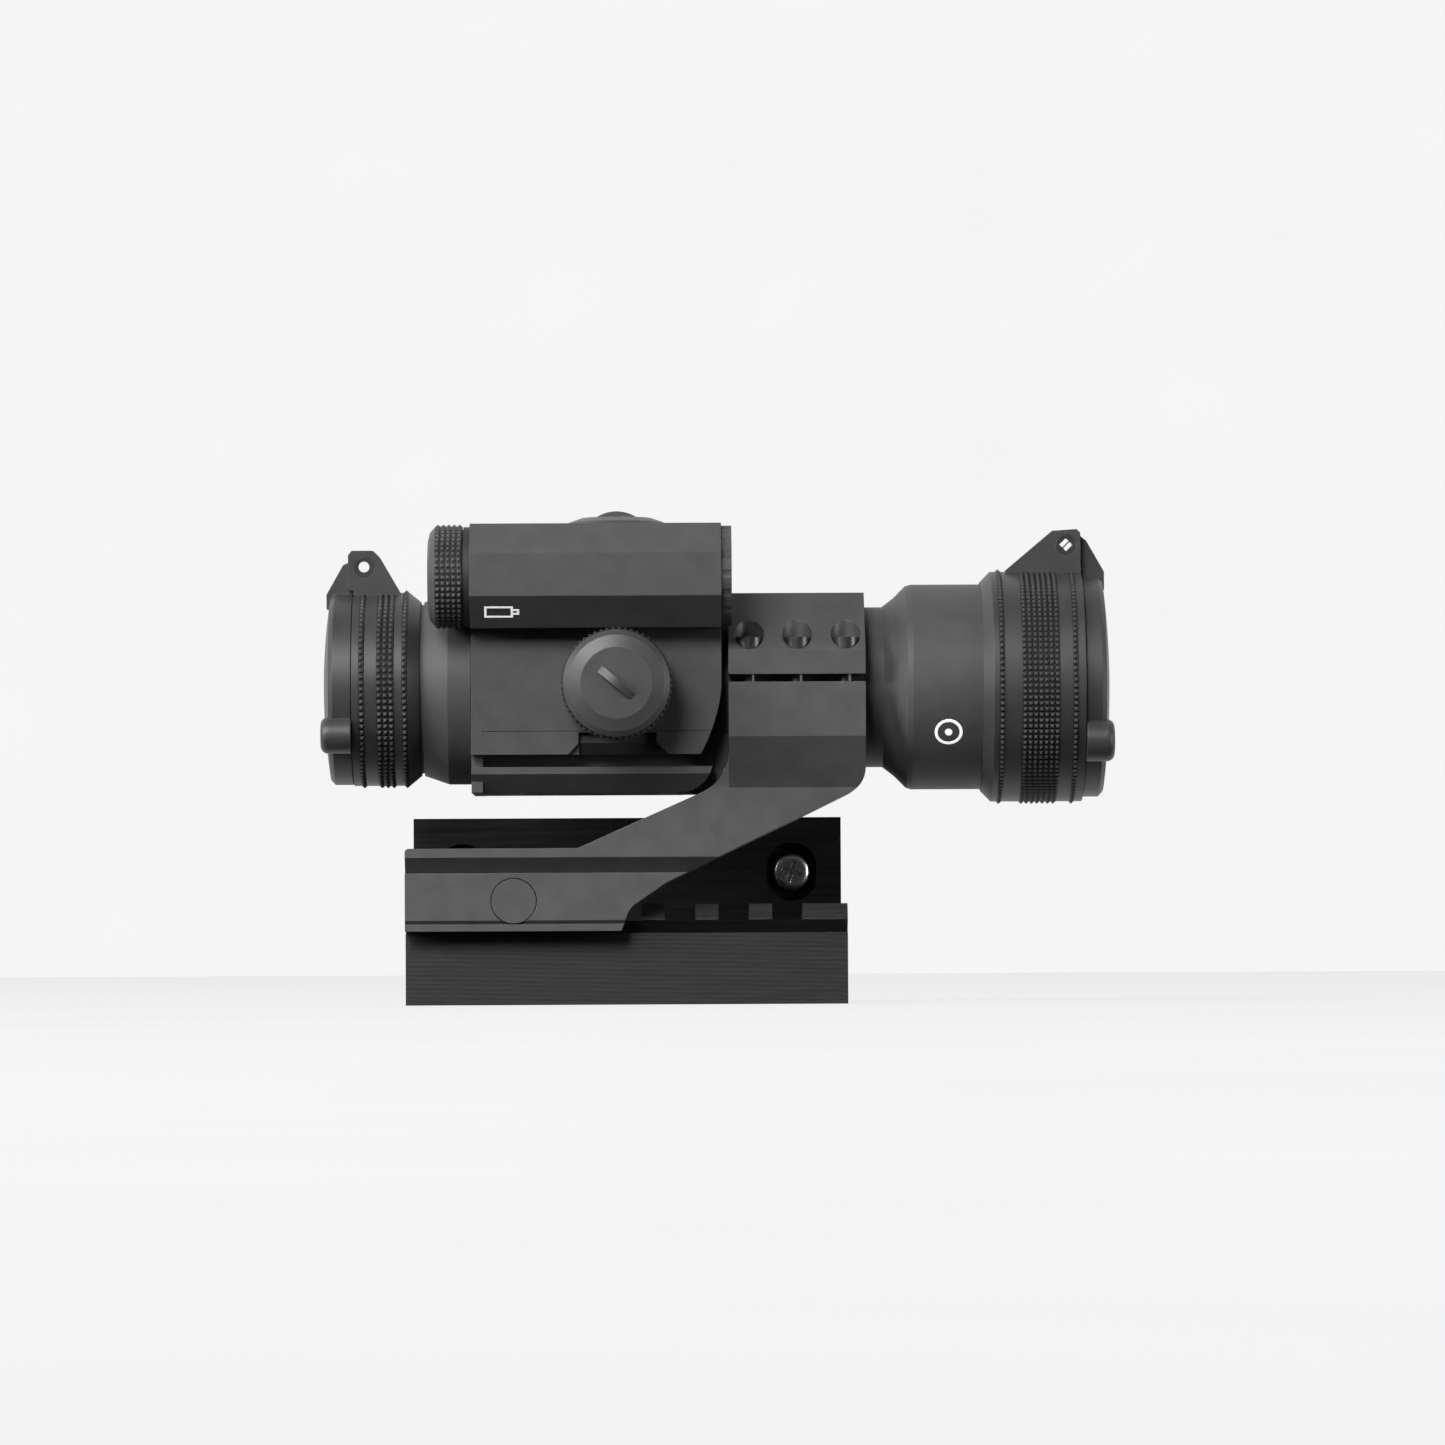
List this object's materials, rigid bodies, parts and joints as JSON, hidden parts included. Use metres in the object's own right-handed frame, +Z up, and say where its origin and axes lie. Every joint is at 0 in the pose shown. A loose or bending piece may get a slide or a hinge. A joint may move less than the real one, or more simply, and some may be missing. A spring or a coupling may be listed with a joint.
{
  "type": "finder scope",
  "caption": "Tube reflex finder scope with flip lens caps, capped adjusters and a battery tube, in a cantilever ring mount clamped to a slotted rail bracket.",
  "frame": {"origin": "midway between the two wall screws, on the rail bracket's back face", "axes": "+X forward along the optical axis, +Y into the wall, +Z up"},
  "size_m": [0.1471, 0.0926, 0.0924],
  "materials": {
    "anodised_body": "fine bead-blasted, matte black anodised",
    "anodised_cap": "turned and knurled, matte black anodised",
    "cap_plastic": "soft-touch black moulding",
    "printed_plastic": "black layer-printed plastic with fine layer lines",
    "glass": "coated optical glass",
    "black_steel": "black oxide steel",
    "bright_steel": "bright zinc plated steel",
    "brass": "turned brass",
    "seal_rubber": "black rubber",
    "keypad_plastic": "fine textured black moulding",
    "board": "green solder mask",
    "cell_wrap": "printed shrink sleeve over a steel can",
    "marking": "white paint filled mark"
  },
  "bodies": {
    "sight": {"main_body": "anodised_body", "eyepiece_ring": "anodised_body", "ring_cap": "anodised_body", "mount_base": "anodised_body", "base_plate": "anodised_body", "objective_retainer": "anodised_body", "ocular_retainer": "anodised_body", "optic_cell": "anodised_body", "emitter_block": "anodised_body", "battery_front_plug": "anodised_body", "rail_bracket": "printed_plastic", "objective_lens": "glass", "ocular_lens": "glass", "ring_screws": "black_steel", "base_screws": "black_steel", "cross_bolt": "black_steel", "cell_spring": "black_steel", "wall_screws": "bright_steel", "battery_front_contact": "brass", "objective_seal": "seal_rubber", "ocular_seal": "seal_rubber", "keypad_bezel": "keypad_plastic", "circuit_board": "board", "emitter_diode": "board", "battery": "cell_wrap"},
    "objective_cap": {"objective_cap_body": "cap_plastic", "objective_hinge_pin": "black_steel", "objective_hinge_spring": "black_steel"},
    "objective_flap": {"objective_lid": "cap_plastic"},
    "rear_cap": {"rear_cap_body": "cap_plastic", "rear_hinge_pin": "black_steel", "rear_hinge_spring": "black_steel"},
    "rear_flap": {"rear_lid": "cap_plastic"},
    "battery_seal_ring": {"battery_cap_seal": "seal_rubber"},
    "battery_screw_cap": {"battery_cap": "anodised_cap", "battery_spring": "bright_steel"},
    "windage_seal_ring": {"windage_seal": "seal_rubber"},
    "windage_screw_cap": {"windage_cap": "anodised_cap"},
    "elevation_seal_ring": {"elevation_seal": "seal_rubber"},
    "elevation_screw_cap": {"elevation_cap": "anodised_cap"},
    "windage_adjuster": {"windage_dial": "brass", "windage_screw": "black_steel"},
    "elevation_adjuster": {"elevation_dial": "brass", "elevation_screw": "black_steel"},
    "brighter_button": {"button_brighter": "seal_rubber"},
    "dimmer_button": {"button_dimmer": "seal_rubber"},
    "jaw": {"clamp_jaw": "anodised_body"},
    "thumb_nut": {"clamp_nut": "anodised_cap"}
  },
  "joints": [
    {"name": "objective_cap_turn", "type": "hinge", "parent": "sight", "child": "objective_cap", "pos_m": [0.07445, -0.0474, 0.0341], "axis": [1, 0, 0], "range_deg": [-90, 90]},
    {"name": "objective_lid_open", "type": "hinge", "parent": "objective_cap", "child": "objective_flap", "pos_m": [0.08245, -0.0474, 0.0605], "axis": [0, -1, 0], "range_deg": [0, 170]},
    {"name": "rear_cap_turn", "type": "hinge", "parent": "sight", "child": "rear_cap", "pos_m": [-0.04455, -0.0474, 0.0341], "axis": [1, 0, 0], "range_deg": [-90, 90]},
    {"name": "rear_lid_open", "type": "hinge", "parent": "rear_cap", "child": "rear_flap", "pos_m": [-0.04885, -0.0474, 0.05685], "axis": [0, 1, 0], "range_deg": [0, 170]},
    {"name": "battery_cap_withdraw", "type": "slide", "parent": "sight", "child": "battery_seal_ring", "axis": [-1, 0, 0], "range_m": [0, 0.0041]},
    {"name": "battery_cap_turn", "type": "hinge", "parent": "battery_seal_ring", "child": "battery_screw_cap", "pos_m": [-0.03255, -0.0676, 0.0542], "axis": [-1, 0, 0], "range_deg": [0, 1440]},
    {"name": "windage_cap_withdraw", "type": "slide", "parent": "sight", "child": "windage_seal_ring", "axis": [0, -1, 0], "range_m": [0, 0.0051]},
    {"name": "windage_cap_turn", "type": "hinge", "parent": "windage_seal_ring", "child": "windage_screw_cap", "pos_m": [-0.00165, -0.0734, 0.0341], "axis": [0, -1, 0], "range_deg": [0, 1800]},
    {"name": "elevation_cap_withdraw", "type": "slide", "parent": "sight", "child": "elevation_seal_ring", "axis": [0, 0, 1], "range_m": [0, 0.0051]},
    {"name": "elevation_cap_turn", "type": "hinge", "parent": "elevation_seal_ring", "child": "elevation_screw_cap", "pos_m": [-0.00165, -0.0474, 0.0601], "axis": [0, 0, 1], "range_deg": [0, 1800]},
    {"name": "windage_dial_turn", "type": "hinge", "parent": "sight", "child": "windage_adjuster", "pos_m": [-0.00165, -0.0694, 0.0341], "axis": [0, -1, 0], "range_deg": [-360, 360]},
    {"name": "elevation_dial_turn", "type": "hinge", "parent": "sight", "child": "elevation_adjuster", "pos_m": [-0.00165, -0.0474, 0.0561], "axis": [0, 0, 1], "range_deg": [-360, 360]},
    {"name": "brighter_press", "type": "slide", "parent": "sight", "child": "brighter_button", "axis": [0, 1, 0], "range_m": [-0.0007, 0], "stiffness_N_per_m": 500},
    {"name": "dimmer_press", "type": "slide", "parent": "sight", "child": "dimmer_button", "axis": [0, 1, 0], "range_m": [-0.0007, 0], "stiffness_N_per_m": 500},
    {"name": "jaw_slide", "type": "slide", "parent": "sight", "child": "jaw", "axis": [0, 1, 0], "range_m": [0, 0.0021]},
    {"name": "nut_turn", "type": "hinge", "parent": "jaw", "child": "thumb_nut", "pos_m": [-0.02095, -0.0274, -0.0058], "axis": [0, 1, 0], "range_deg": [0, 720]}
  ],
  "couplings": [
    {"joint": "battery_cap_withdraw", "follows": "battery_cap_turn", "m_per_rad": 0.00015915},
    {"joint": "windage_cap_withdraw", "follows": "windage_cap_turn", "m_per_rad": 0.00015915},
    {"joint": "elevation_cap_withdraw", "follows": "elevation_cap_turn", "m_per_rad": 0.00015915},
    {"joint": "jaw_slide", "follows": "nut_turn", "m_per_rad": 0.00015915}
  ]
}
